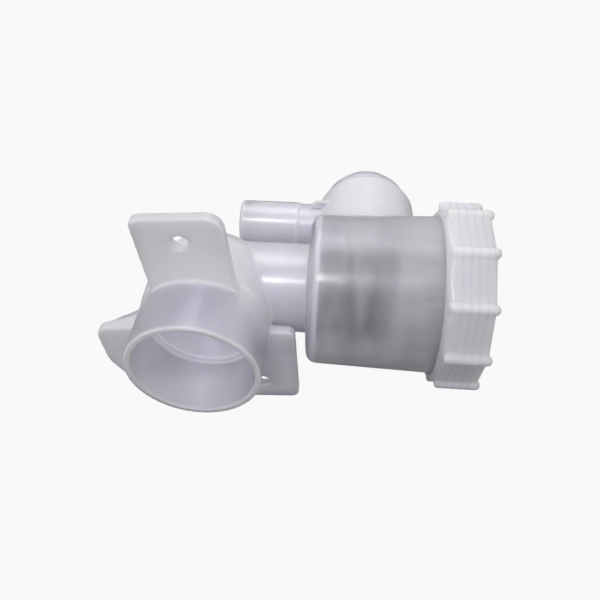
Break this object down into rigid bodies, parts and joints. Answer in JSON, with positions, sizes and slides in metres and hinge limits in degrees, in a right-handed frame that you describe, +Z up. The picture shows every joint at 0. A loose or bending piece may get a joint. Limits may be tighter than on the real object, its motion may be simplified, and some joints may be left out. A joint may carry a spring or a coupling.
{
  "type": "drain valve",
  "caption": "Moulded drain valve with tub socket, screw lugs, hose outlet, overflow port and a screw cap over a spring-loaded rubber valve that a pull rod opens.",
  "frame": {"origin": "centre of the inlet socket's mouth, on the socket's axis", "axes": "+X along the pipe and the valve chamber towards the screw cap; -Y out of the inlet socket; +Y along the outlet spigot towards the hose; +Z up, square to both"},
  "size_m": [0.1301, 0.0932, 0.0841],
  "materials": {
    "body_plastic": "natural translucent polypropylene, moulded",
    "cap_plastic": "natural translucent polypropylene, moulded",
    "white_plastic": "white acetal, moulded",
    "valve_rubber": "black EPDM rubber, moulded",
    "steel": "drawn stainless steel"
  },
  "bodies": {
    "housing": {"valve_body": "body_plastic", "rubber_bellows": "valve_rubber", "outer_spring": "steel"},
    "plunger": {"guide_sleeve": "white_plastic", "guide_bush": "white_plastic", "anchor_pin": "steel", "inner_spring": "steel"},
    "rod": {"pull_rod": "white_plastic"},
    "ring": {"press_ring": "white_plastic", "spring_washer": "steel"},
    "cap": {"screw_cap": "cap_plastic"}
  },
  "joints": [
    {"name": "valve_pull", "type": "slide", "parent": "housing", "child": "plunger", "axis": [1, 0, 0], "range_m": [0, 0.01], "stiffness_N_per_m": 500, "springref_m": -0.01, "deforming": ["rubber_bellows", "outer_spring"]},
    {"name": "rod_overrun", "type": "slide", "parent": "plunger", "child": "rod", "axis": [1, 0, 0], "range_m": [0, 0.004], "stiffness_N_per_m": 1500, "springref_m": -0.006, "deforming": ["inner_spring"]},
    {"name": "ring_lift", "type": "slide", "parent": "housing", "child": "ring", "axis": [1, 0, 0], "range_m": [0, 0.0076]},
    {"name": "cap_turn", "type": "hinge", "parent": "ring", "child": "cap", "pos_m": [0, 0.0398, 0], "axis": [1, 0, 0], "range_deg": [0, 1080]}
  ],
  "couplings": [
    {"joint": "ring_lift", "follows": "cap_turn", "m_per_rad": 0.00039789}
  ]
}
